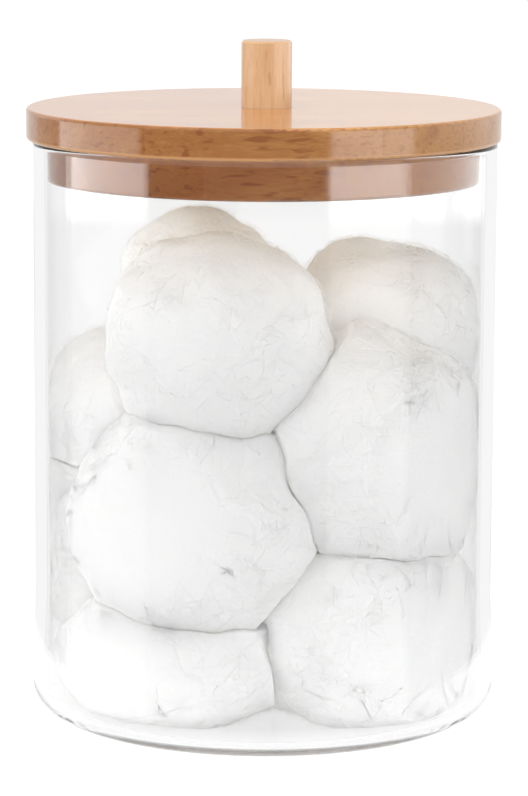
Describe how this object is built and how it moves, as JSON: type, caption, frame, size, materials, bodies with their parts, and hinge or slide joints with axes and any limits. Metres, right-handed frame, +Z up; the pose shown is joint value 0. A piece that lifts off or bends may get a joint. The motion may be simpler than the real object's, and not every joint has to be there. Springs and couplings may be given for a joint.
{
  "type": "cotton ball dispenser jar",
  "caption": "Clear cylindrical glass jar holding cotton balls, closed by a lift-off turned bamboo lid with a short dowel knob.",
  "frame": {"origin": "centre of the jar's underside, on the surface it stands on", "axes": "+Z up along the jar's axis, -Y towards the front, +X to the right"},
  "size_m": [0.075, 0.075, 0.1072],
  "materials": {
    "clear_glass": "clear, polished",
    "bamboo_lid": "thin clear lacquer over carbonised bamboo",
    "bamboo_knob": "sanded satin, lightly sealed",
    "cotton": "matt loose fibre"
  },
  "bodies": {
    "jar": {"jar": "clear_glass", "cotton_ball_01": "cotton", "cotton_ball_02": "cotton", "cotton_ball_03": "cotton", "cotton_ball_04": "cotton", "cotton_ball_05": "cotton", "cotton_ball_06": "cotton", "cotton_ball_07": "cotton", "cotton_ball_08": "cotton", "cotton_ball_09": "cotton", "cotton_ball_10": "cotton", "cotton_ball_11": "cotton", "cotton_ball_12": "cotton", "cotton_ball_13": "cotton", "cotton_ball_14": "cotton", "cotton_ball_15": "cotton"},
    "lid": {"lid": "bamboo_lid", "knob": "bamboo_knob"}
  },
  "joints": [
    {"name": "lid_lift", "type": "slide", "parent": "jar", "child": "lid", "axis": [0, 0, 1], "range_m": [0, 0.05]}
  ]
}
